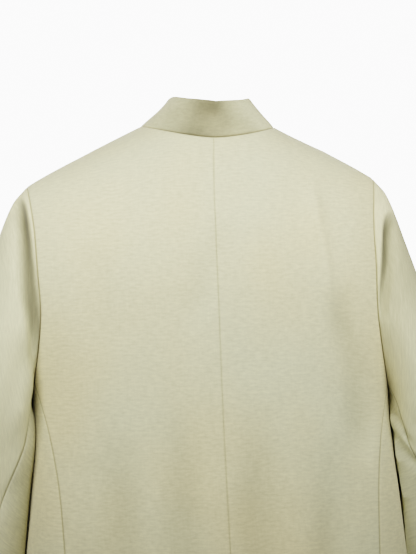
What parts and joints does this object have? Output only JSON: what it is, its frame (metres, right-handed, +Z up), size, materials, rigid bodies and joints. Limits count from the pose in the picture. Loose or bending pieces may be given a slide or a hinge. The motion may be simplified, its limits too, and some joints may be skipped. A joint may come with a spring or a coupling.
{
  "type": "stand-collar blazer",
  "caption": "Boxy linen-look blazer with a stand collar, centre-back and side-back seams, two-piece set-in sleeves and a lapped, buttoned front, hollow as when worn.",
  "frame": {"origin": "midway between the two points where the shoulder seams meet the collar, where the wearer's neck and shoulders carry the garment", "axes": "+Z up, the front faces -Y, +X to the wearer's left"},
  "size_m": [0.6927, 0.2491, 0.7365],
  "materials": {
    "cloth": "pale sage-ecru slub weave",
    "button": "self-coloured, satin"
  },
  "bodies": {
    "root": {"back_left": "cloth", "back_right": "cloth", "side_left": "cloth", "side_right": "cloth", "front_left": "cloth", "front_right": "cloth", "sleeve_top_left": "cloth", "sleeve_top_right": "cloth", "sleeve_under_left": "cloth", "sleeve_under_right": "cloth", "collar": "cloth", "button_1": "button", "button_2": "button", "button_3": "button", "button_4": "button"}
  },
  "joints": []
}
